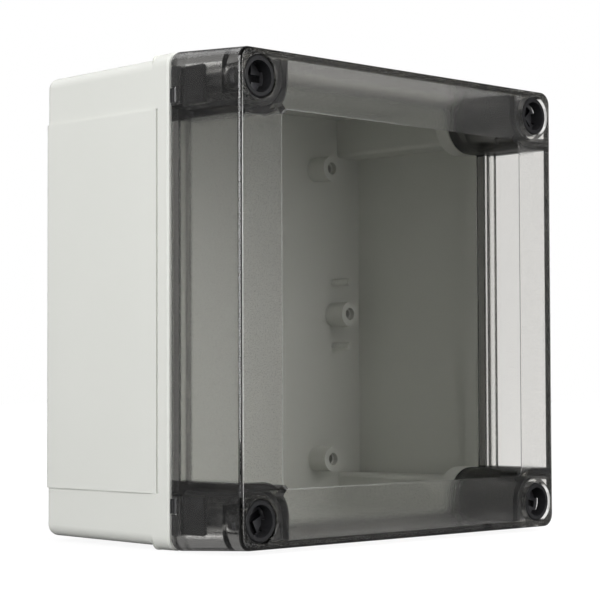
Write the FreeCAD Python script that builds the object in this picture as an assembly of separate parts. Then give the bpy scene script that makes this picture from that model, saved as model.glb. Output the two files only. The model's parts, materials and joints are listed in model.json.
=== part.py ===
import FreeCAD, Part
import math
import os

# Hinged polycarbonate wall enclosure, millimetres.
# X runs along the width, Y from the cover at the front to the back wall, Z up.
# The origin is at the centre of the bottom of the enclosure.

# Overall size
WIDTH = 180.0
HEIGHT = 182.0
DEPTH = 111.0
COVER_DEPTH = 36.4

# Walls and outer form
BASE_WALL = 2.7
BACK_WALL = 3.2
COVER_WALL = 2.9
FRONT_WALL = 3.0
CORNER_RADIUS = 5.0
COVER_DRAFT = 1.8
COVER_FRONT_ROUND = 1.3
BODY_INSET = 1.2
BODY_DRAFT = 0.8
BACK_ROUND = 3.2
FLANGE_DEPTH = 8.6
FLANGE_STEP = 1.4
FLANGE_CHAMFER = 0.7
LIP_ROUND_LESS = 0.03

# Raised panels on the side walls, between the corners
PANEL_END = 20.6
PANEL_INSET = 0.45
PANEL_GROOVE_PLACE = 5.6
PANEL_GROOVE_WIDTH = 1.1
PANEL_GROOVE_DEPTH = 0.9

# Rim, seal and the gap between base and cover
SEAM_GAP = 0.4
RIM_WIDTH = 7.6
RIM_DEPTH = 6.5
COVER_RIM_DEPTH = 5.4
COVER_RIM_SLOPE = 1.6
GROOVE_PLACE = 1.5
GROOVE_WIDTH = 2.2
GROOVE_DEPTH = 3.0
GASKET_FIT = 0.03
BEAD_WIDTH = 1.2
BEAD_HEIGHT = 0.5
BEAD_GAP = 0.2

# Corner pockets of the cover, outside the seal
POCKET_FROM_SIDE = 26.3
POCKET_FROM_TOP = 25.2
POCKET_ROUND = 13.0
POCKET_WALL_FRONT = 2.8
POCKET_WALL_BACK = 2.8
POCKET_OUTER_ROUND = 4.0
NUB_WIDTH = 3.2
NUB_HEIGHT = 2.6
NUB_LENGTH = 9.0

# Border of the clear window field on the front
WINDOW_FROM_SIDE = 22.2
WINDOW_FROM_TOP = 22.8
WINDOW_ROUND = 3.0
WINDOW_STEP = 0.35

# Cover screws, one in each corner
SCREW_FROM_SIDE = 11.8
SCREW_FROM_TOP = 12.0
LID_HOLE = 16.4
HEAD_DIAMETER = 15.4
HEAD_LENGTH = 8.0
HEAD_RECESS = 0.5
HEAD_BEVEL = 0.6
CUP_BORE = 11.6
CUP_FLOOR = 1.9
SLOT_WIDTH = 2.7
SLOT_DEPTH = 1.3
CUP_WINDOW_ANGLE = 52.0
CUP_WINDOW_HEIGHT = 1.8
SHANK_DIAMETER = 7.4
SHANK_CLEARANCE = 0.4
SHANK_ENGAGED = 4.0
SEAT_GAP = 0.2
SLEEVE_WALL = 1.4
SEAT_THICK = 2.0
GUIDE_WALL = 1.7
GUIDE_END = 12.2
SCREW_TURNS = {"upper_left": 0.0, "upper_right": 45.0, "lower_left": 27.0, "lower_right": -15.0}

# Retaining clip on each screw, behind the end of the guide
CLIP_DIAMETER = 10.6
CLIP_THICK = 1.5
CLIP_PLACE = 5.5
CLIP_GROOVE_DEPTH = 0.6
CLIP_FIT = 0.06
CLIP_SIDE_GAP = 0.1
CLIP_MOUTH = 5.2

# Corner posts of the base, with the screw sockets and the wall fixing holes
POST_FROM_SIDE = 18.4
POST_FROM_TOP = 21.0
POST_ROUND = 2.0
SOCKET_DEPTH = 5.0
SOCKET_SHIFT = 1.5
CHANNEL_DIAMETER = 9.4
WALL_HOLE = 4.6

# Bosses and pins on the back wall
BOSS_FROM_SIDE = 32.0
BOSS_FROM_TOP = 27.6
SIDE_BOSS_FROM_SIDE = 21.0
BOSS_HEIGHT = 10.0
BOSS_DIAMETER = 10.6
BOSS_MOUTH = 5.3
BOSS_MOUTH_DEPTH = 2.4
BOSS_BORE = 4.1
BOSS_BORE_DEPTH = 8.6
PIN_SPACING = 28.0
PIN_DIAMETER = 3.0

# Hinge, hidden in the lip of the left side
HINGE_INSET = 2.0
HINGE_FROM_TOP = 16.3
EYE_WIDTH = 5.2
EYE_RADIUS = 1.55
EYE_CLEARANCE = 0.3
STEM_THICK = 1.8
STEM_DEPTH = 5.4
STEM_FIT = 0.05
HINGE_PIN_DIAMETER = 1.2
HINGE_PIN_LENGTH = 13.2
HINGE_PIN_SEAT_FIT = 0.02
HINGE_PIN_RUN_FIT = 0.05
BRACKET_FROM_TOP = 6.0
BRACKET_LENGTH = 13.9
BRACKET_INSET = 4.1
BRACKET_THICK = 1.6
BRACKET_DEPTH = 14.8
NOSE_BEFORE = 1.15
NOSE_BEHIND = 2.25
NOSE_REACH = 0.9
NOSE_FIT = 0.05

# Places worked out from the sizes above
MIDDLE = HEIGHT / 2
HALF_W = WIDTH / 2
HALF_H = HEIGHT / 2
Y_FRONT = -DEPTH / 2
Y_BACK = DEPTH / 2
Y_RIM = Y_FRONT + COVER_DEPTH + SEAM_GAP / 2
Y_LIP = Y_FRONT + COVER_DEPTH - SEAM_GAP / 2
Y_INNER_FRONT = Y_FRONT + FRONT_WALL
Y_INNER_BACK = Y_BACK - BACK_WALL
Y_HEAD = Y_FRONT + HEAD_RECESS
Y_SEAT = Y_HEAD + HEAD_LENGTH + SEAT_GAP
Y_GUIDE_END = Y_LIP - GUIDE_END
Y_TIP = Y_RIM + SHANK_ENGAGED
Y_CLIP = Y_GUIDE_END + CLIP_PLACE
HINGE_X = -HALF_W + HINGE_INSET
HINGE_Y = Y_LIP - HINGE_INSET
HINGE_Z = HALF_H - HINGE_FROM_TOP
BRACKET_LOW = HALF_H - BRACKET_FROM_TOP - BRACKET_LENGTH
RIM_X = HALF_W - RIM_WIDTH
RIM_Z = HALF_H - RIM_WIDTH
POCKET_X = HALF_W - POCKET_FROM_SIDE
POCKET_Z = HALF_H - POCKET_FROM_TOP
SCREW_X = HALF_W - SCREW_FROM_SIDE
SCREW_Z = HALF_H - SCREW_FROM_TOP
POST_X = HALF_W - POST_FROM_SIDE
POST_Z = HALF_H - POST_FROM_TOP
BOSS_X = HALF_W - BOSS_FROM_SIDE
BOSS_Z = HALF_H - BOSS_FROM_TOP
SIDE_BOSS_X = HALF_W - SIDE_BOSS_FROM_SIDE
OVER = 1.0
NEAR = 1e-4
DIAGONAL = math.sqrt(0.5)
CORNERS = {
    "upper_left": (-1, 1),
    "upper_right": (1, 1),
    "lower_left": (-1, -1),
    "lower_right": (1, -1),
}
HINGE_SIDES = {"upper": 1, "lower": -1}


def at(x, y, z):
    """A point, with z measured from the middle of the height."""
    return FreeCAD.Vector(x, y, z + MIDDLE)


def arc_edge(cx, cz, radius, start, end, y):
    """An arc in the plane of depth y, from one angle to the other, in degrees."""
    def on_arc(angle):
        turn = math.radians(angle)
        return at(cx + radius * math.cos(turn), y, cz + radius * math.sin(turn))

    return Part.Arc(on_arc(start), on_arc((start + end) / 2), on_arc(end)).toShape()


def line_edge(a, b):
    return Part.makeLine(a, b)


def rounded_outline(half_w, half_h, radius, y):
    """A rectangle with round corners, centred on the enclosure."""
    cx, cz = half_w - radius, half_h - radius
    edges = []
    for sx, sz, start in ((1, 1, 0), (-1, 1, 90), (-1, -1, 180), (1, -1, 270)):
        edges.append(arc_edge(sx * cx, sz * cz, radius, start, start + 90, y))
    joined = []
    for i, edge in enumerate(edges):
        after = edges[(i + 1) % 4]
        joined.append(edge)
        joined.append(line_edge(edge.lastVertex(True).Point, after.firstVertex(True).Point))
    return Part.Wire(joined)


def sealed_outline(half_w, half_h, grow, y):
    """The outline of the sealed space, which steps round the four corner pockets."""
    px, pz = POCKET_X + grow, POCKET_Z + grow
    radius = POCKET_ROUND - grow
    cx, cz = POCKET_X + POCKET_ROUND, POCKET_Z + POCKET_ROUND
    edges = []
    last = None
    quarters = ((1, 1, False), (-1, 1, True), (-1, -1, False), (1, -1, True))
    for sx, sz, backwards in quarters:
        corner = [at(sx * half_w, y, sz * pz), at(sx * cx, y, sz * pz)]
        top = [at(sx * px, y, sz * cz), at(sx * px, y, sz * half_h)]
        middle = at(sx * (cx - radius * DIAGONAL), y, sz * (cz - radius * DIAGONAL))
        path = corner + top
        if backwards:
            path = top[::-1] + corner[::-1]
        if last is not None:
            edges.append(line_edge(last, path[0]))
        edges.append(line_edge(path[0], path[1]))
        edges.append(Part.Arc(path[1], middle, path[2]).toShape())
        edges.append(line_edge(path[2], path[3]))
        last = path[3]
    first = edges[0].firstVertex(True).Point
    edges.append(line_edge(last, first))
    return Part.Wire(edges)


def pocket_outline(sx, sz, half_w, half_h, wall, y):
    """The inside of one corner pocket, a wall away from the sealed space."""
    px, pz = POCKET_X + wall, POCKET_Z + wall
    radius = POCKET_ROUND - wall
    cx, cz = POCKET_X + POCKET_ROUND, POCKET_Z + POCKET_ROUND
    ox, oz = half_w - POCKET_OUTER_ROUND, half_h - POCKET_OUTER_ROUND
    outer_reach = POCKET_OUTER_ROUND * DIAGONAL
    inner_mid = at(sx * (cx - radius * DIAGONAL), y, sz * (cz - radius * DIAGONAL))
    outer_mid = at(sx * (ox + outer_reach), y, sz * (oz + outer_reach))
    a, b = at(sx * px, y, sz * half_h), at(sx * px, y, sz * cz)
    c, d = at(sx * cx, y, sz * pz), at(sx * half_w, y, sz * pz)
    e, f = at(sx * half_w, y, sz * oz), at(sx * ox, y, sz * half_h)
    return Part.Wire([
        line_edge(a, b), Part.Arc(b, inner_mid, c).toShape(), line_edge(c, d),
        line_edge(d, e), Part.Arc(e, outer_mid, f).toShape(), line_edge(f, a),
    ])


def loft(*wires):
    return Part.makeLoft(list(wires), True, True)


def drafted_block(front, front_y, back, back_y, radius):
    """A block with flat drafted sides and round corners, between two half sizes (width, height)."""
    (front_w, front_h), (back_w, back_h) = front, back
    wedge = Part.makeWedge(
        -front_w, front_y, MIDDLE - front_h, MIDDLE - back_h, -back_w,
        front_w, back_y, MIDDLE + front_h, MIDDLE + back_h, back_w,
    )
    corners = [e for e in wedge.Edges if e.BoundBox.YLength > (back_y - front_y) / 2]
    return wedge.makeFillet(radius, corners)


def slab(wire, to_y):
    """The outline pushed straight back or forward to the depth to_y."""
    from_y = wire.BoundBox.Center.y
    return Part.Face(wire).extrude(FreeCAD.Vector(0, to_y - from_y, 0))


def block(x0, x1, y0, y1, z0, z1):
    corner = at(min(x0, x1), min(y0, y1), min(z0, z1))
    return Part.makeBox(abs(x1 - x0), abs(y1 - y0), abs(z1 - z0), corner)


def rod(x, z, diameter, y0, y1):
    """A cylinder along the depth."""
    return Part.makeCylinder(diameter / 2, y1 - y0, at(x, y0, z), FreeCAD.Vector(0, 1, 0))


def cone(x, z, diameter0, diameter1, y0, y1):
    return Part.makeCone(diameter0 / 2, diameter1 / 2, y1 - y0, at(x, y0, z), FreeCAD.Vector(0, 1, 0))


def edges_at_depth(shape, y):
    return [e for e in shape.Edges if abs(e.BoundBox.YMin - y) < NEAR and abs(e.BoundBox.YMax - y) < NEAR]


def rounded_at_depth(shape, y, radius):
    return shape.makeFillet(radius, edges_at_depth(shape, y))


def half_sizes(inset):
    """Half width and half height of an outline inside the overall one."""
    return HALF_W - inset, HALF_H - inset


def cover_half_sizes(y):
    """Half width and half height of the cover's outside at depth y."""
    inset = COVER_DRAFT * (Y_LIP - y) / (Y_LIP - Y_FRONT)
    return HALF_W - inset, HALF_H - inset


def cover_shell():
    outside = drafted_block(cover_half_sizes(Y_FRONT), Y_FRONT, (HALF_W, HALF_H), Y_LIP, CORNER_RADIUS)
    outside = rounded_at_depth(outside, Y_FRONT, COVER_FRONT_ROUND)
    return rounded_at_depth(outside, Y_LIP, HINGE_INSET - LIP_ROUND_LESS)


def cover_sealed_space():
    y_rim = Y_LIP - COVER_RIM_DEPTH
    y_wall = y_rim - COVER_RIM_SLOPE
    front_w, front_h = cover_half_sizes(Y_INNER_FRONT)
    wall_w, wall_h = cover_half_sizes(y_wall)
    wall_outline = sealed_outline(wall_w - COVER_WALL, wall_h - COVER_WALL, 0, y_wall)
    front = loft(sealed_outline(front_w - COVER_WALL, front_h - COVER_WALL, 0, Y_INNER_FRONT), wall_outline)
    slope = loft(wall_outline, sealed_outline(RIM_X, RIM_Z, 0, y_rim))
    mouth = slab(sealed_outline(RIM_X, RIM_Z, 0, y_rim), Y_LIP + OVER)
    return front.fuse([slope, mouth])


def cover_pocket(sx, sz):
    y_rim = Y_LIP - COVER_RIM_DEPTH
    y_wall = y_rim - COVER_RIM_SLOPE
    front_w, front_h = cover_half_sizes(Y_INNER_FRONT)
    wall_w, wall_h = cover_half_sizes(y_wall)
    rim_wall = GROOVE_PLACE + GROOVE_WIDTH + GROOVE_PLACE
    half_w, half_h = wall_w - COVER_WALL, wall_h - COVER_WALL
    wall_outline = pocket_outline(sx, sz, half_w, half_h, POCKET_WALL_BACK, y_wall)
    front = loft(
        pocket_outline(sx, sz, front_w - COVER_WALL, front_h - COVER_WALL, POCKET_WALL_FRONT, Y_INNER_FRONT),
        wall_outline,
    )
    slope = loft(wall_outline, pocket_outline(sx, sz, half_w, half_h, rim_wall, y_rim))
    mouth = slab(pocket_outline(sx, sz, half_w, half_h, rim_wall, y_rim), Y_LIP + OVER)
    return front.fuse([slope, mouth])


def seal_ring(inner_grow, outer_grow, y0, y1):
    """A band that follows the rim round the sealed space."""
    outer = slab(sealed_outline(RIM_X + outer_grow, RIM_Z + outer_grow, outer_grow, y0), y1)
    inner = slab(sealed_outline(RIM_X + inner_grow, RIM_Z + inner_grow, inner_grow, y0), y1)
    return outer.cut(inner)


def screw_guide(sx, sz):
    """Sleeve and tube behind the front wall, which hold one cover screw."""
    x, z = sx * SCREW_X, sz * SCREW_Z
    bore = SHANK_DIAMETER + 2 * SHANK_CLEARANCE
    sleeve = rod(x, z, LID_HOLE + 2 * SLEEVE_WALL, Y_INNER_FRONT - OVER, Y_SEAT + SEAT_THICK)
    tube = rod(x, z, bore + 2 * GUIDE_WALL, Y_SEAT + SEAT_THICK / 2, Y_GUIDE_END)
    return sleeve.fuse(tube)


def screw_guide_bore(sx, sz):
    x, z = sx * SCREW_X, sz * SCREW_Z
    mouth = rod(x, z, LID_HOLE, Y_FRONT - OVER, Y_SEAT)
    bore = rod(x, z, SHANK_DIAMETER + 2 * SHANK_CLEARANCE, Y_FRONT, Y_GUIDE_END + OVER)
    return mouth.fuse(bore)


def pocket_nub(sx, sz):
    """Small square rib on the round corner of the pocket wall, facing the window."""
    nub = block(
        -NUB_HEIGHT, OVER, Y_INNER_FRONT - OVER, Y_INNER_FRONT + NUB_LENGTH, -NUB_WIDTH / 2, NUB_WIDTH / 2)
    nub.translate(FreeCAD.Vector(-POCKET_ROUND, 0, 0))
    nub.rotate(at(0, 0, 0), FreeCAD.Vector(0, 1, 0), -45)
    nub.translate(FreeCAD.Vector(POCKET_X + POCKET_ROUND, 0, POCKET_Z + POCKET_ROUND))
    if sx < 0:
        nub = nub.mirror(at(0, 0, 0), FreeCAD.Vector(1, 0, 0))
    if sz < 0:
        nub = nub.mirror(at(0, 0, 0), FreeCAD.Vector(0, 0, 1))
    return nub


def hinge_notch(sz):
    """Room for the hinge eye and for its stem to swing."""
    reach = EYE_RADIUS + EYE_CLEARANCE
    half = EYE_WIDTH / 2 + EYE_CLEARANCE
    outside = HINGE_X - HINGE_INSET - OVER
    z = sz * HINGE_Z
    return block(outside, HINGE_X + reach, HINGE_Y - reach, Y_LIP + OVER, z - half, z + half)


def bracket_nose(sz, fit):
    """The rib of the hinge bracket that reaches into the cover's wall and holds the pin."""
    return block(
        HINGE_X - NOSE_REACH - fit, -HALF_W + BRACKET_INSET + BRACKET_THICK / 2,
        HINGE_Y - NOSE_BEHIND - fit, HINGE_Y + NOSE_BEFORE + fit,
        sz * (BRACKET_LOW - fit), sz * (BRACKET_LOW + BRACKET_LENGTH + fit),
    )


def cover():
    outside = cover_shell()
    shell = outside.cut(cover_sealed_space())
    for sx, sz in CORNERS.values():
        shell = shell.cut(cover_pocket(sx, sz))
    added = [screw_guide(sx, sz) for sx, sz in CORNERS.values()]
    added += [pocket_nub(sx, sz) for sx, sz in CORNERS.values()]
    shell = shell.fuse([piece.common(outside) for piece in added])
    groove = seal_ring(GROOVE_PLACE, GROOVE_PLACE + GROOVE_WIDTH, Y_LIP - GROOVE_DEPTH, Y_LIP + OVER)
    window_w, window_h = HALF_W - WINDOW_FROM_SIDE, HALF_H - WINDOW_FROM_TOP
    window = slab(rounded_outline(window_w, window_h, WINDOW_ROUND, Y_FRONT - OVER), Y_FRONT + WINDOW_STEP)
    cuts = [groove, window]
    cuts += [screw_guide_bore(sx, sz) for sx, sz in CORNERS.values()]
    for sz in HINGE_SIDES.values():
        cuts += [hinge_notch(sz), bracket_nose(sz, NOSE_FIT)]
    return shell.cut(cuts).removeSplitter()


def cover_gasket():
    y_floor = Y_LIP - GROOVE_DEPTH + GASKET_FIT
    inner = GROOVE_PLACE + GASKET_FIT
    outer = GROOVE_PLACE + GROOVE_WIDTH - GASKET_FIT
    return seal_ring(inner, outer, y_floor, Y_RIM - BEAD_HEIGHT - BEAD_GAP)


def panel_zones(y0, y1):
    """The stretches of the four walls between the corner zones, as one cross."""
    upright = block(-HALF_W - OVER, HALF_W + OVER, y0, y1, -HALF_H + PANEL_END, HALF_H - PANEL_END)
    level = block(-HALF_W + PANEL_END, HALF_W - PANEL_END, y0, y1, -HALF_H - OVER, HALF_H + OVER)
    return upright.fuse(level)


def base_outside():
    y_flange = Y_RIM + FLANGE_DEPTH
    radius = CORNER_RADIUS - BODY_INSET / 2
    flange = slab(rounded_outline(HALF_W, HALF_H, CORNER_RADIUS, Y_RIM), y_flange)
    flange = flange.makeChamfer(FLANGE_CHAMFER, edges_at_depth(flange, Y_RIM))
    step = drafted_block(half_sizes(0), y_flange, half_sizes(BODY_INSET), y_flange + FLANGE_STEP, radius)
    body = drafted_block(
        half_sizes(BODY_INSET), Y_RIM + FLANGE_STEP, half_sizes(BODY_INSET + BODY_DRAFT), Y_BACK, radius)
    body = rounded_at_depth(body, Y_BACK, BACK_ROUND)
    y_panel = Y_RIM + PANEL_GROOVE_PLACE
    panel = drafted_block(
        half_sizes(PANEL_INSET), y_panel, half_sizes(PANEL_INSET + BODY_DRAFT), Y_BACK, radius)
    panel = rounded_at_depth(panel, Y_BACK, BACK_ROUND).common(panel_zones(y_panel, Y_BACK))
    whole = flange.fuse([step, body, panel])
    depth = PANEL_GROOVE_DEPTH
    y_groove_end = y_panel + PANEL_GROOVE_WIDTH
    ring = slab(rounded_outline(*half_sizes(-OVER), CORNER_RADIUS, y_panel), y_groove_end)
    kept = slab(rounded_outline(*half_sizes(depth), radius, y_panel), y_groove_end)
    groove = ring.cut(kept).common(panel_zones(y_panel, y_groove_end))
    return whole.cut(groove)


def corner_post(sx, sz):
    """Square post in a corner of the base, from the rim to the back wall."""
    outer = block(sx * POST_X, sx * HALF_W, Y_RIM + RIM_DEPTH - OVER, Y_BACK, sz * POST_Z, sz * HALF_H)
    inner_corner = at(sx * POST_X, outer.BoundBox.Center.y, sz * POST_Z)
    inner_edge = [e for e in outer.Edges if e.BoundBox.Center.isEqual(inner_corner, NEAR)]
    return outer.makeFillet(POST_ROUND, inner_edge)


def base_space():
    y_lip = Y_RIM + RIM_DEPTH
    front_inset = BODY_INSET + BASE_WALL
    back_inset = front_inset + BODY_DRAFT
    radius = CORNER_RADIUS - BASE_WALL
    inside = drafted_block(half_sizes(front_inset), y_lip, half_sizes(back_inset), Y_INNER_BACK, radius)
    inside = inside.cut([corner_post(sx, sz) for sx, sz in CORNERS.values()])
    mouth = slab(sealed_outline(RIM_X, RIM_Z, 0, Y_RIM - OVER), y_lip)
    return inside.fuse(mouth)


def screw_socket(sx, sz):
    """Long socket for the cover screw, the channel behind it and the hole through the back wall."""
    x, z = sx * SCREW_X, sz * SCREW_Z
    width = SHANK_DIAMETER + 2 * SHANK_CLEARANCE
    y_end = Y_RIM + SOCKET_DEPTH
    inboard = x - sx * SOCKET_SHIFT
    slot = rod(x, z, width, Y_RIM - OVER, y_end).fuse([
        rod(inboard, z, width, Y_RIM - OVER, y_end),
        block(x, inboard, Y_RIM - OVER, y_end, z - width / 2, z + width / 2),
    ])
    channel = rod(x, z, CHANNEL_DIAMETER, y_end, Y_INNER_BACK)
    hole = rod(x, z, WALL_HOLE, Y_INNER_BACK - OVER, Y_BACK + OVER)
    return slot.fuse([channel, hole])


def boss_places():
    places = [(sx * BOSS_X, sz * BOSS_Z) for sx, sz in CORNERS.values()]
    return places + [(-SIDE_BOSS_X, 0.0), (SIDE_BOSS_X, 0.0)]


def boss(x, z):
    y_tip = Y_INNER_BACK - BOSS_HEIGHT
    post = rod(x, z, BOSS_DIAMETER, y_tip, Y_INNER_BACK + OVER)
    mouth = rod(x, z, BOSS_MOUTH, y_tip - OVER, y_tip + BOSS_MOUTH_DEPTH)
    bore = rod(x, z, BOSS_BORE, y_tip, y_tip + BOSS_BORE_DEPTH)
    return post.cut([mouth, bore])


def locating_pins():
    """Pins above and below each side boss, as high as the boss."""
    pins = []
    for sx, sz in CORNERS.values():
        x, z = sx * SIDE_BOSS_X, sz * PIN_SPACING / 2
        pins.append(rod(x, z, PIN_DIAMETER, Y_INNER_BACK - BOSS_HEIGHT, Y_INNER_BACK + OVER))
    return pins


def stem_slot(sz):
    half = EYE_WIDTH / 2 + STEM_FIT
    side = STEM_THICK / 2 + STEM_FIT
    z = sz * HINGE_Z
    return block(
        HINGE_X - side, HINGE_X + side, Y_RIM - OVER, Y_RIM + STEM_DEPTH + STEM_FIT, z - half, z + half)


def base():
    shell = base_outside().cut(base_space())
    bead_middle = GROOVE_PLACE + GROOVE_WIDTH / 2
    bead = seal_ring(
        bead_middle - BEAD_WIDTH / 2, bead_middle + BEAD_WIDTH / 2, Y_RIM - BEAD_HEIGHT, Y_RIM + OVER)
    added = [bead] + [boss(x, z) for x, z in boss_places()] + locating_pins()
    cuts = [screw_socket(sx, sz) for sx, sz in CORNERS.values()]
    cuts += [stem_slot(sz) for sz in HINGE_SIDES.values()]
    return shell.fuse(added).cut(cuts).removeSplitter()


def hinge_eye(sz):
    """Eye of the hinge and the flat stem that sits in the base."""
    z = sz * HINGE_Z
    low = at(HINGE_X, HINGE_Y, z - EYE_WIDTH / 2)
    up = FreeCAD.Vector(0, 0, 1)
    eye = Part.makeCylinder(EYE_RADIUS, EYE_WIDTH, low, up)
    stem = block(
        HINGE_X - STEM_THICK / 2, HINGE_X + STEM_THICK / 2, HINGE_Y, Y_RIM + STEM_DEPTH,
        z - EYE_WIDTH / 2, z + EYE_WIDTH / 2,
    )
    bore = Part.makeCylinder(HINGE_PIN_DIAMETER / 2 + HINGE_PIN_RUN_FIT, EYE_WIDTH, low, up)
    return eye.fuse(stem).cut(bore).removeSplitter()


def pin_rod(sz, radius, length):
    """A rod on the hinge axis, which ends at the end of the bracket near the corner."""
    end = at(HINGE_X, HINGE_Y, sz * (BRACKET_LOW + BRACKET_LENGTH))
    return Part.makeCylinder(radius, length, end, FreeCAD.Vector(0, 0, -sz))


def hinge_bracket(sz):
    """Black block in the cover's corner pocket, which carries the hinge pin."""
    plate = block(
        -HALF_W + BRACKET_INSET, -HALF_W + BRACKET_INSET + BRACKET_THICK,
        HINGE_Y + NOSE_BEFORE - BRACKET_DEPTH, HINGE_Y + NOSE_BEFORE,
        sz * BRACKET_LOW, sz * (BRACKET_LOW + BRACKET_LENGTH),
    )
    bore = pin_rod(sz, HINGE_PIN_DIAMETER / 2 + HINGE_PIN_SEAT_FIT, HINGE_PIN_LENGTH)
    return plate.fuse(bracket_nose(sz, 0)).removeSplitter().cut([hinge_notch(sz), bore])


def hinge_pin(sz):
    return pin_rod(sz, HINGE_PIN_DIAMETER / 2, HINGE_PIN_LENGTH)


def cup_window(x, z, angle):
    """One curved window through the wall of the screw's cup, just above its floor."""
    y1 = Y_HEAD + HEAD_LENGTH - CUP_FLOOR
    start = at(x, y1 - CUP_WINDOW_HEIGHT, z)
    wedge = Part.makeCylinder(
        HEAD_DIAMETER, CUP_WINDOW_HEIGHT, start, FreeCAD.Vector(0, 1, 0), CUP_WINDOW_ANGLE)
    wedge.rotate(at(x, 0, z), FreeCAD.Vector(0, 1, 0), -angle - CUP_WINDOW_ANGLE / 2)
    return wedge


def cover_screw(sx, sz, turn):
    """Screw with a hollow head, a cross slot in its floor and a plain shank."""
    x, z = sx * SCREW_X, sz * SCREW_Z
    y_head_end = Y_HEAD + HEAD_LENGTH
    y_floor = y_head_end - CUP_FLOOR
    head = cone(x, z, HEAD_DIAMETER - 2 * HEAD_BEVEL, HEAD_DIAMETER, Y_HEAD, Y_HEAD + HEAD_BEVEL)
    head = head.fuse(rod(x, z, HEAD_DIAMETER, Y_HEAD + HEAD_BEVEL, y_head_end))
    head = head.cut(rod(x, z, CUP_BORE, Y_HEAD, y_floor))
    head = head.cut([cup_window(x, z, quarter * 90.0) for quarter in range(4)])
    arm = block(x - CUP_BORE / 2, x + CUP_BORE / 2, y_floor - OVER / 2, y_floor + SLOT_DEPTH,
                z - SLOT_WIDTH / 2, z + SLOT_WIDTH / 2)
    other = block(x - SLOT_WIDTH / 2, x + SLOT_WIDTH / 2, y_floor - OVER / 2, y_floor + SLOT_DEPTH,
                  z - CUP_BORE / 2, z + CUP_BORE / 2)
    head = head.cut([arm, other])
    shank = rod(x, z, SHANK_DIAMETER, y_head_end, Y_TIP)
    groove = rod(x, z, SHANK_DIAMETER + OVER, Y_CLIP - CLIP_SIDE_GAP, Y_CLIP + CLIP_THICK + CLIP_SIDE_GAP)
    core = rod(x, z, SHANK_DIAMETER - 2 * CLIP_GROOVE_DEPTH, Y_CLIP - OVER, Y_CLIP + CLIP_THICK + OVER)
    groove = groove.cut(core)
    screw = head.fuse(shank).removeSplitter().cut(groove)
    screw.rotate(at(x, 0, z), FreeCAD.Vector(0, 1, 0), -turn)
    return screw


def retaining_clip(sx, sz):
    """Open spring clip in the shank's groove, which keeps the screw in the cover."""
    x, z = sx * SCREW_X, sz * SCREW_Z
    bore = SHANK_DIAMETER - 2 * CLIP_GROOVE_DEPTH + 2 * CLIP_FIT
    ring = rod(x, z, CLIP_DIAMETER, Y_CLIP, Y_CLIP + CLIP_THICK)
    ring = ring.cut(rod(x, z, bore, Y_CLIP - OVER, Y_CLIP + CLIP_THICK + OVER))
    mouth = block(x, x - sx * CLIP_DIAMETER, Y_CLIP - OVER, Y_CLIP + CLIP_THICK + OVER,
                  z - CLIP_MOUTH / 2, z + CLIP_MOUTH / 2)
    return ring.cut(mouth)


def save(name, shape):
    solids = shape.Solids
    if len(solids) != 1 or not shape.isValid():
        print("check", name, "solids", len(solids), "valid", shape.isValid())
    solids[0].exportStep("parts/" + name + ".step")


def main():
    os.makedirs("parts", exist_ok=True)
    save("base", base())
    save("cover", cover())
    save("cover_gasket", cover_gasket())
    for name, (sx, sz) in CORNERS.items():
        save("cover_screw_" + name, cover_screw(sx, sz, SCREW_TURNS[name]))
        save("retaining_clip_" + name, retaining_clip(sx, sz))
    for name, sz in HINGE_SIDES.items():
        save("hinge_bracket_" + name, hinge_bracket(sz))
        save("hinge_eye_" + name, hinge_eye(sz))
        save("hinge_pin_" + name, hinge_pin(sz))


main()
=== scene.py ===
"""Looks of a hinged wall enclosure.

A pale tray, a smoke-tinted cover with a clear window, and black cup-headed cover screws. Every piece is a solid
of the frame; this script gives them their finishes and adds the room, the floor, the lamps and the camera.
"""

import json
import math

import bpy
from mathutils import Euler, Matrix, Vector


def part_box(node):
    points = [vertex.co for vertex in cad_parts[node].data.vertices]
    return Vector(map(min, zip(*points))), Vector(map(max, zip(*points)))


MM = 0.001

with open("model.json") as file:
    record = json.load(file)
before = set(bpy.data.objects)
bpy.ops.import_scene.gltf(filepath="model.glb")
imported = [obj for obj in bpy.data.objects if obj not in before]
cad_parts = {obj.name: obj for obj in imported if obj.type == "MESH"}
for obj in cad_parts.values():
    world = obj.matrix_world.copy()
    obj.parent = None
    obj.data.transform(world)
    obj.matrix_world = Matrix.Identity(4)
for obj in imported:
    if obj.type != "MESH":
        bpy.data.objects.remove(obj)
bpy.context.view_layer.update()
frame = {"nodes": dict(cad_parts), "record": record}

# Places read from the frame
BASE_LOW, BASE_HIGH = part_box("base")
COVER_LOW, COVER_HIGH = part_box("cover")
HALF_WIDTH = (BASE_HIGH[0] - BASE_LOW[0]) / 2
HALF_HEIGHT = (BASE_HIGH[2] - BASE_LOW[2]) / 2
MIDDLE_Z = (BASE_HIGH[2] + BASE_LOW[2]) / 2
FRONT_Y = COVER_LOW[1]
LIP_Y = COVER_HIGH[1]

# Sizes of the cover that its finish follows
COVER_DRAFT = 1.8 * MM
SKIN = 1.2 * MM
WALL = 2.8 * MM
POCKET_FROM_SIDE = 26.3 * MM
POCKET_FROM_TOP = 25.2 * MM
POCKET_ROUND = 13.0 * MM
NUB_HALF_WIDTH = 2.1 * MM
NUB_HEIGHT = 2.6 * MM
RIM_DEPTH = 7.2 * MM
WINDOW_FROM_SIDE = 22.2 * MM
WINDOW_FROM_TOP = 22.8 * MM
WINDOW_ROUND = 3.0 * MM
WINDOW_BOTTOM = (0.4 * MM, 0.5 * MM)
WINDOW_LINE = (0.10 * MM, 0.16 * MM)

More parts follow.
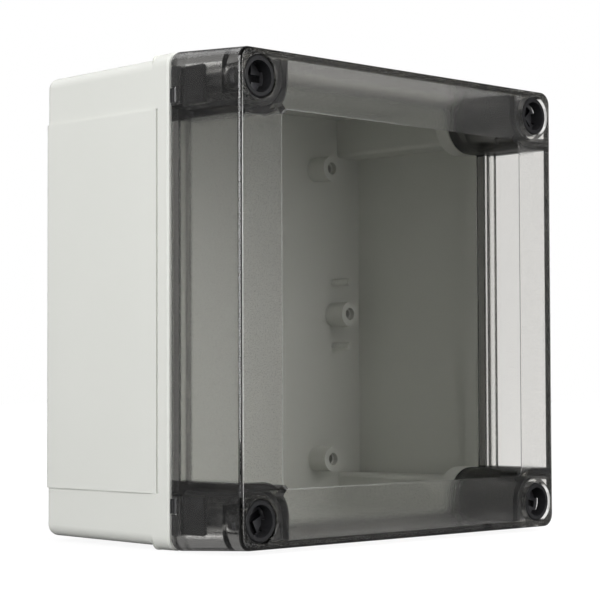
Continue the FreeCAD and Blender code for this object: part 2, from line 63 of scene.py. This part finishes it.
# Where bands of the cover's front begin or end, behind its front face
FACE_END = (0.05 * MM, 0.10 * MM)
STEP_END = (0.30 * MM, 0.33 * MM)
LINE_START = (0.004 * MM, 0.010 * MM)
LINE_END = (0.05 * MM, 0.07 * MM)
ROUND_START = (0.06 * MM, 0.12 * MM)
ROUND_END = (1.0 * MM, 1.3 * MM)
SIDE_START = (0.9 * MM, 1.2 * MM)

# Where its outer edge begins, in from its sides, and where the painted highlight line dims towards the top and
# bottom
EDGE_START = (-3.0 * MM, -2.5 * MM)
LINE_DIMS = (-38.0 * MM, -6.0 * MM)

# Depth of a screw's cup, from the front
CUP_DEPTH = 6.6 * MM

# Camera, found from the outer corners, the window and the screws
CAMERA_PLACE = Vector((-571.3, -566.9, 61.1)) * MM
CAMERA_YAW = 45.06
CAMERA_PITCH = 2.34
CAMERA_ROLL = -0.19
FOCAL_PIXELS = 2006.3
FRAME_PIXELS = 600.0
SENSOR_WIDTH = 36.0

# How much of the floor's look is its own glow, and how white that is; the rest is lit and takes the shadow
FLOOR_GLOW = 0.86
FLOOR_WHITE = 1.06
FLOOR_HALF = 4.0

# The room's light on the object: even, nearly dark from the left, and brightest from the front right
ROOM_LIGHT = 0.80
DIM_SIDE, DIM_FADE, DIM_LIGHT = (-1.0, -0.1, 0.0), (-0.05, 0.42), 0.03
BRIGHT_SIDE, BRIGHT_FADE, BRIGHT_LIGHT = (0.56, -0.82, 0.10), (0.3, 0.85), 4.4

# How bright glass and gloss see the room and the floor: white behind, dark in front, and dimmer once mirrored
FRONT_SIDE, FRONT_ROOM = (0.0, -1.0, 0.0), 0.08
ROOM_FADE = (0.0, 0.6)
FLOOR_FADE = (0.08, 0.3)
GLOSS_ROOM = 0.19

# Lamps: place, width and height, power in watts
CENTRE = Vector((0.0, 0.0, MIDDLE_Z))
LEFT_WINDOW = Vector((-1.3, -0.4, 0.35)), (1.2, 1.2), 25.0
BACK_WINDOW = Vector((-0.3, 1.2, 1.25)), (1.0, 1.0), 4.5
EDGE_STRIP = (0.045, 0.50)
EDGE_STRIP_TARGET = Vector((-HALF_WIDTH, FRONT_Y, 0.25))
EDGE_STRIP_AWAY = 0.4
EDGE_STRIP_POWER = 0.35


def colour(red, green, blue):
    return red, green, blue, 1.0


class Value:
    """A shader socket in a sum: operators on it add the nodes that work the sum out."""

    def __init__(self, tree, socket):
        self.tree = tree
        self.socket = socket

    def sum(self, operation, *values):
        return self.tree.node("ShaderNodeMath", dict(operation=operation), dict(enumerate(values)))

    def __add__(self, other):
        return self.sum("ADD", self, other)

    def __radd__(self, other):
        return self.sum("ADD", other, self)

    def __sub__(self, other):
        return self.sum("SUBTRACT", self, other)

    def __rsub__(self, other):
        return self.sum("SUBTRACT", other, self)

    def __mul__(self, other):
        return self.sum("MULTIPLY", self, other)

    def __rmul__(self, other):
        return self.sum("MULTIPLY", other, self)

    def __pow__(self, other):
        return self.sum("POWER", self, other)

    def __abs__(self):
        return self.sum("ABSOLUTE", self)

    def above(self, other):
        return self.sum("MAXIMUM", self, other)

    def below(self, other):
        return self.sum("MINIMUM", self, other)

    def step(self, start, end, low=0.0, high=1.0):
        """The first value up to start, the second from end on, and smooth between them."""
        settings = dict(interpolation_type="SMOOTHSTEP")
        values = {"Value": self, "From Min": start, "From Max": end, "To Min": low, "To Max": high}
        return self.tree.node("ShaderNodeMapRange", settings, values, output="Result")


class Tree:
    """A node tree, filled by calls."""

    def __init__(self, node_tree):
        self.nodes = node_tree.nodes
        self.links = node_tree.links
        self.nodes.clear()

    def node(self, kind, settings=None, values=None, output=0):
        made = self.nodes.new(kind)
        for name, value in (settings or {}).items():
            setattr(made, name, value)
        for name, value in (values or {}).items():
            self.put(made.inputs[name], value)
        return Value(self, made.outputs[output])

    def put(self, socket, value):
        if isinstance(value, Value):
            self.links.new(value.socket, socket)
        else:
            socket.default_value = value

    def along(self, direction, side):
        """How far a direction or a point lies towards a side."""
        settings = dict(operation="DOT_PRODUCT")
        return self.node("ShaderNodeVectorMath", settings, {0: direction, 1: side}, "Value")

    def ray(self, kind):
        return self.node("ShaderNodeLightPath", output=kind)

    def blend(self, factor, first, second):
        """A shader between two shaders."""
        return self.node("ShaderNodeMixShader", values={0: factor, 1: first, 2: second})


class Finish(Tree):
    """One node material."""

    def __init__(self, name):
        self.material = bpy.data.materials.new(name)
        self.material.use_nodes = True
        super().__init__(self.material.node_tree)
        self.output = self.nodes.new("ShaderNodeOutputMaterial")

    def point(self):
        """The shaded point, in metres."""
        return self.node("ShaderNodeTexCoord", output="Object")

    def axes(self, point):
        outputs = self.node("ShaderNodeSeparateXYZ", values={0: point}).socket.node.outputs
        return [Value(self, outputs[i]) for i in range(3)]

    def noise(self, point, size, detail=2.0, roughness=0.5):
        values = {"Vector": point, "Scale": 1.0 / size, "Detail": detail, "Roughness": roughness}
        return self.node("ShaderNodeTexNoise", values=values, output="Fac")

    def cells(self, point, size):
        """Distance to the middle of the nearest cell, for cells of about this size."""
        values = {"Vector": point, "Scale": 1.0 / size}
        return self.node("ShaderNodeTexVoronoi", dict(feature="F1"), values, "Distance")

    def mix(self, factor, low, high):
        """A colour between two colours."""
        return self.node("ShaderNodeMix", dict(data_type="RGBA"), {0: factor, 6: low, 7: high}, output=2)

    def bump(self, height, depth, strength):
        values = {"Height": height, "Distance": depth, "Strength": strength}
        return self.node("ShaderNodeBump", values=values, output="Normal")

    def plastic(self, **values):
        """A Principled shader; underscores in the names stand for spaces."""
        values = {name.replace("_", " "): value for name, value in values.items()}
        return self.node("ShaderNodeBsdfPrincipled", values=values)

    def finished(self, surface, volume=None):
        self.put(self.output.inputs["Surface"], surface)
        if volume:
            self.put(self.output.inputs["Volume"], volume)
        return self.material


def inside_corner(across, up, radius):
    """How deep inside a rounded corner a point lies, from its ways past the start of the round."""
    return radius - (across ** 2.0 + up ** 2.0) ** 0.5


def cover_parts(x, y, z):
    """1 on each of five parts of the cover.

    Its textured sides, the textured border of its front, the sharp steps in that front, which carry a painted
    highlight, the band of painted shade along its top and bottom with the round of its outer edge, and the thin
    painted highlight line down each upright outer edge.
    """
    height = abs(z - MIDDLE_Z) - HALF_HEIGHT
    width = abs(x) - HALF_WIDTH
    behind = y - FRONT_Y
    to_side = width.above(height) + (LIP_Y - y) * (COVER_DRAFT / (LIP_Y - FRONT_Y))
    outer = to_side.step(*EDGE_START)
    on_side = to_side.step(-SKIN, -SKIN * 0.8) * behind.step(*SIDE_START)
    on_front = 1.0 - behind.step(*FACE_END)
    # The sharp steps behind the front face, which take a painted highlight
    on_step = (1.0 - on_front) * (1.0 - behind.step(*STEP_END)) * (1.0 - outer)
    # The round of the outer edge and the top and bottom edges by the front, which take a painted shade
    on_round = behind.step(*ROUND_START) * (1.0 - behind.step(*ROUND_END)) * outer
    on_wall = to_side.step(-WALL, -WALL * 0.9) * on_front * (height - width).step(-1.0 * MM, 0.0)
    # The thin line down each upright outer edge where a painted highlight goes, dimmer towards the top and
    # bottom
    highlight_line = behind.step(*LINE_START) * (1.0 - behind.step(*LINE_END)) * outer
    highlight_line = highlight_line * (width - height).step(-1.0 * MM, 0.0) * (1.0 - 0.75 * height.step(*LINE_DIMS))
    return on_side, on_front, on_step, on_round * 0.65 + on_wall, highlight_line


def window_highlight_line(x, y, z):
    """1 on a thin line round the window, where a painted highlight goes, fading out from its left to its right.
    """
    across = (abs(x) - HALF_WIDTH + WINDOW_FROM_SIDE + WINDOW_ROUND).above(0.0)
    up = (abs(z - MIDDLE_Z) - HALF_HEIGHT + WINDOW_FROM_TOP + WINDOW_ROUND).above(0.0)
    line = 1.0 - abs(inside_corner(across, up, WINDOW_ROUND) + 0.1 * MM).step(*WINDOW_LINE)
    on_front = 1.0 - (y - FRONT_Y).step(*WINDOW_BOTTOM)
    return line * on_front * (1.0 - x.step(-0.5 * HALF_WIDTH, 0.7 * HALF_WIDTH))


def pocket_shade_zone(x, z):
    """1 on the walls of the four corner pockets and on the nub at the corner of each, where painted shade goes.
    """
    across = (POCKET_ROUND + HALF_WIDTH - POCKET_FROM_SIDE - abs(x)).above(0.0)
    up = (POCKET_ROUND + HALF_HEIGHT - POCKET_FROM_TOP - abs(z - MIDDLE_Z)).above(0.0)
    depth = inside_corner(across, up, POCKET_ROUND)
    on_nub = (1.0 - abs(across - up).step(NUB_HALF_WIDTH, NUB_HALF_WIDTH + 0.3 * MM)) * NUB_HEIGHT
    return (depth + on_nub).step(-0.6 * MM, -0.4 * MM) * (1.0 - (depth - WALL).step(1.2 * MM, 1.8 * MM))


def smoke_cover():
    """Smoke-tinted clear plastic, fine-grained outside the window, with painted highlight lines and painted
    shade.
    """
    finish = Finish("smoke_tinted_polycarbonate")
    point = finish.point()
    x, y, z = finish.axes(point)
    on_side, on_front, on_step, painted_dark_edge, highlight_line = cover_parts(x, y, z)
    # Painted highlight: the thin line round the window joins the lines down the upright edges
    highlight_line = highlight_line.above(window_highlight_line(x, y, z) * 0.45)
    skin = on_side.above(on_front)
    inside = 1.0 - skin
    # Painted shade on the pocket walls, away from the textured skin
    pocket_shade = pocket_shade_zone(x, z) * inside
    rim = (y - LIP_Y + RIM_DEPTH).step(-0.2 * MM, 0.0) * inside
    grain = finish.noise(point, 0.8 * MM, detail=3.0, roughness=0.7)
    specks = finish.noise(point, 0.55 * MM, detail=1.0).step(0.50, 0.68)
    texture = finish.bump(grain * skin, 0.08 * MM, 0.7)

    # Painted shade: the pocket walls take a dark tint; elsewhere the clear plastic is nearly white
    tint_and_painted_shade = finish.mix(pocket_shade, colour(1.0, 0.997, 0.99), colour(0.30, 0.295, 0.29))
    tint_and_painted_shade = finish.mix(skin, tint_and_painted_shade, colour(0.97, 0.965, 0.955))
    clear = finish.plastic(
        # Painted shade: the top and bottom edges and the round of the outer edge take a dark base colour
        Base_Color=finish.mix(painted_dark_edge, tint_and_painted_shade, colour(0.15, 0.149, 0.147)),
        Roughness=skin * 0.11 + on_side * 0.06 + rim * 0.25 + 0.01,
        IOR=1.585,
        Transmission_Weight=1.0,
        Normal=texture,
    )
    shade = finish.mix(specks, colour(0.13, 0.129, 0.125), colour(0.75, 0.745, 0.73))
    # Painted highlight: a pale grey on the steps and on the thin lines down the edges and round the window
    shade = finish.mix((on_step * 0.4).above(highlight_line), shade, colour(0.92, 0.915, 0.90))
    satin = finish.plastic(
        # Painted shade: the satin is nearly black on the pocket walls
        Base_Color=finish.mix(pocket_shade, shade, colour(0.018, 0.018, 0.019)),
        Roughness=grain * 0.15 + 0.40,
        IOR=1.585,
        Normal=texture,
    )
    # How much satin shows: the specks are the plastic's own grain; the steps' share is painted highlight, the
    # pocket walls' share painted shade
    veil = on_side * specks * 0.06 + on_front * specks * 0.16 + on_step * 0.28 + pocket_shade * 0.5
    smoke = {"Color": colour(0.55, 0.53, 0.49), "Density": 55.0}
    smoke = finish.node("ShaderNodeVolumeAbsorption", values=smoke)
    # The painted highlight lines show mostly the pale satin
    return finish.finished(finish.blend(veil.above(highlight_line * 0.7), clear, satin), smoke)


def tray_plastic():
    """Light grey moulded plastic with a fine satin texture."""
    finish = Finish("light_grey_polycarbonate")
    point = finish.point()
    cloud = finish.noise(point, 45.0 * MM)
    grain = finish.noise(point, 0.45 * MM, detail=3.0, roughness=0.6)
    return finish.finished(finish.plastic(
        Base_Color=finish.mix(cloud, colour(0.690, 0.700, 0.660), colour(0.720, 0.728, 0.690)),
        Roughness=grain * 0.10 + 0.42,
        IOR=1.5,
        Normal=finish.bump(grain, 0.03 * MM, 0.5),
    ))


def black_nylon():
    """Satin black nylon of the hinge's brackets and eyes."""
    finish = Finish("black_nylon")
    grain = finish.noise(finish.point(), 0.6 * MM)
    return finish.finished(finish.plastic(
        Base_Color=finish.mix(grain, colour(0.008, 0.008, 0.009), colour(0.018, 0.018, 0.020)),
        Roughness=grain * 0.15 + 0.28,
        Normal=finish.bump(grain, 0.02 * MM, 0.4),
    ))


def screw_nylon():
    """Glossy black nylon, satin on the floor of the cup; the floor's lighter grey is painted light."""
    finish = Finish("glossy_black_nylon")
    point = finish.point()
    y = finish.axes(point)[1]
    grain = finish.noise(point, 0.6 * MM)
    cup = y - FRONT_Y - CUP_DEPTH
    cup_floor = cup.step(-0.3 * MM, -0.1 * MM) * (1.0 - cup.step(0.1 * MM, 0.3 * MM))
    gloss = finish.mix(grain, colour(0.010, 0.010, 0.011), colour(0.022, 0.022, 0.024))
    return finish.finished(finish.plastic(
        # Painted light: the cup's floor is coloured lighter grey, as if lit from the front; its higher
        # roughness is real
        Base_Color=finish.mix(cup_floor, gloss, colour(0.085, 0.085, 0.092)),
        Roughness=grain * 0.12 + cup_floor * 0.15 + 0.24,
        Normal=finish.bump(grain, 0.02 * MM, 0.4),
    ))


def seal_foam():
    """Pale foam with small cells."""
    finish = Finish("pale_seal_foam")
    cells = finish.cells(finish.point(), 0.4 * MM)
    return finish.finished(finish.plastic(
        Base_Color=finish.mix(cells, colour(0.60, 0.60, 0.58), colour(0.50, 0.50, 0.49)),
        Roughness=cells * 0.1 + 0.75,
        Normal=finish.bump(cells, 0.05 * MM, 0.5),
    ))


def bare_steel(name):
    finish = Finish(name)
    grain = finish.noise(finish.point(), 0.3 * MM, detail=3.0)
    return finish.finished(finish.plastic(
        Base_Color=finish.mix(grain, colour(0.50, 0.50, 0.50), colour(0.62, 0.62, 0.61)),
        Metallic=1.0,
        Roughness=grain * 0.15 + 0.25,
    ))


def dress_all():
    """Each solid gets the finish of its slot; the cover screws are glossier than the other black pieces."""
    by_slot = {
        "base_plastic": tray_plastic(),
        "smoke_cover": smoke_cover(),
        "seal_foam": seal_foam(),
        "black_plastic": black_nylon(),
        "clip_steel": bare_steel("clip_steel"),
        "pin_steel": bare_steel("pin_steel"),
    }
    cup_screw = screw_nylon()
    for part in frame["record"]["subparts"]:
        is_screw = part["node"].startswith("cover_screw")
        materials = frame["nodes"][part["node"]].data.materials
        materials.clear()
        materials.append(cup_screw if is_screw else by_slot[part["material_slot"]])


def white_background(tree, fade):
    """Where the white background is seen, and how bright: full for the camera, faded for glass and gloss."""
    by_camera = tree.ray("Is Camera Ray")
    unlit = 1.0 - tree.ray("Diffuse Depth").below(1.0)
    mirrored = tree.ray("Glossy Depth").below(1.0)
    seen = by_camera.above(tree.ray("Is Glossy Ray").above(tree.ray("Is Transmission Ray")) * unlit)
    glass = (fade - mirrored * (1.0 - GLOSS_ROOM)).above(FRONT_ROOM * GLOSS_ROOM)
    return seen, by_camera.above(glass)


def soft_room():
    """Soft light from all round, behind a background that the camera sees as white."""
    world = bpy.data.worlds.new("room")
    bpy.context.scene.world = world
    world.use_nodes = True
    tree = Tree(world.node_tree)
    output = tree.nodes.new("ShaderNodeOutputWorld")
    direction = tree.node("ShaderNodeTexCoord", output="Generated")
    dim = tree.along(direction, DIM_SIDE).step(*DIM_FADE, 1.0, DIM_LIGHT)
    bright = tree.along(direction, BRIGHT_SIDE).step(*BRIGHT_FADE, 1.0, BRIGHT_LIGHT)
    fade = tree.along(direction, FRONT_SIDE).step(*ROOM_FADE, 1.0, FRONT_ROOM)
    seen, strength = white_background(tree, fade)
    white = colour(1.0, 1.0, 1.0)
    light = tree.node("ShaderNodeBackground", values={"Color": white, "Strength": dim * bright * ROOM_LIGHT})
    background = tree.node("ShaderNodeBackground", values={"Color": white, "Strength": strength})
    tree.put(output.inputs["Surface"], tree.blend(seen, light, background))


def floor():
    """A wide pale floor; its glow makes it as white as the room, and shadows still darken it."""
    corners = [(x * FLOOR_HALF, y * FLOOR_HALF, 0) for x, y in ((-1, -1), (1, -1), (1, 1), (-1, 1))]
    mesh = bpy.data.meshes.new("floor")
    mesh.from_pydata(corners, [], [(0, 1, 2, 3)])
    obj = bpy.data.objects.new("floor", mesh)
    bpy.context.scene.collection.objects.link(obj)
    finish = Finish("floor")
    fade = finish.along(finish.point(), FRONT_SIDE).step(*FLOOR_FADE, 1.0, FRONT_ROOM)
    seen, strength = white_background(finish, fade)
    white = colour(FLOOR_WHITE, FLOOR_WHITE, FLOOR_WHITE)
    paint = finish.node("ShaderNodeBsdfDiffuse", values={"Color": colour(0.80, 0.80, 0.80)})
    glow = finish.node("ShaderNodeEmission", values={"Color": white, "Strength": strength * seen})
    share = seen * (1.0 - finish.ray("Is Camera Ray")) * (1.0 - FLOOR_GLOW) + FLOOR_GLOW
    obj.data.materials.append(finish.finished(finish.blend(share, paint, glow)))


def area_lamp(name, place, target, size, power, unseen_by):
    lamp = bpy.data.lights.new(name, "AREA")
    lamp.shape = "RECTANGLE"
    lamp.size, lamp.size_y = size
    lamp.energy = power
    obj = bpy.data.objects.new(name, lamp)
    bpy.context.scene.collection.objects.link(obj)
    obj.location = place
    obj.rotation_euler = (target - place).to_track_quat("-Z", "Y").to_euler()
    for kind in unseen_by:
        setattr(obj, "visible_" + kind, False)


def edge_strip(name, direction):
    """A tall narrow lamp that only gloss shows, for the bright lines along the rounded front edges."""
    place = EDGE_STRIP_TARGET + Vector(direction) * EDGE_STRIP_AWAY
    unseen_by = ("camera", "transmission", "diffuse")
    area_lamp(name, place, EDGE_STRIP_TARGET, EDGE_STRIP, EDGE_STRIP_POWER, unseen_by)


def lights():
    for name, (place, size, power) in (("left_window", LEFT_WINDOW), ("back_window", BACK_WINDOW)):
        area_lamp(name, place, CENTRE, size, power, ("transmission",))
    edge_strip("side_edge_light", (-0.93, -0.368, 0.0))
    edge_strip("front_edge_light", (0.485, -0.873, 0.0))


def camera():
    data = bpy.data.cameras.new("camera")
    data.sensor_width = SENSOR_WIDTH
    data.lens = FOCAL_PIXELS / FRAME_PIXELS * SENSOR_WIDTH
    data.clip_start = 0.01
    data.clip_end = 50.0
    obj = bpy.data.objects.new("camera", data)
    obj.location = CAMERA_PLACE
    aim = Euler((math.radians(90.0 + CAMERA_PITCH), 0.0, math.radians(-CAMERA_YAW)), "XYZ").to_matrix()
    roll = Euler((0.0, 0.0, math.radians(CAMERA_ROLL)), "XYZ").to_matrix()
    obj.rotation_euler = (aim @ roll).to_euler()
    bpy.context.scene.collection.objects.link(obj)
    bpy.context.scene.camera = obj


dress_all()
soft_room()
floor()
lights()
camera()
bpy.context.scene.view_settings.view_transform = "Standard"
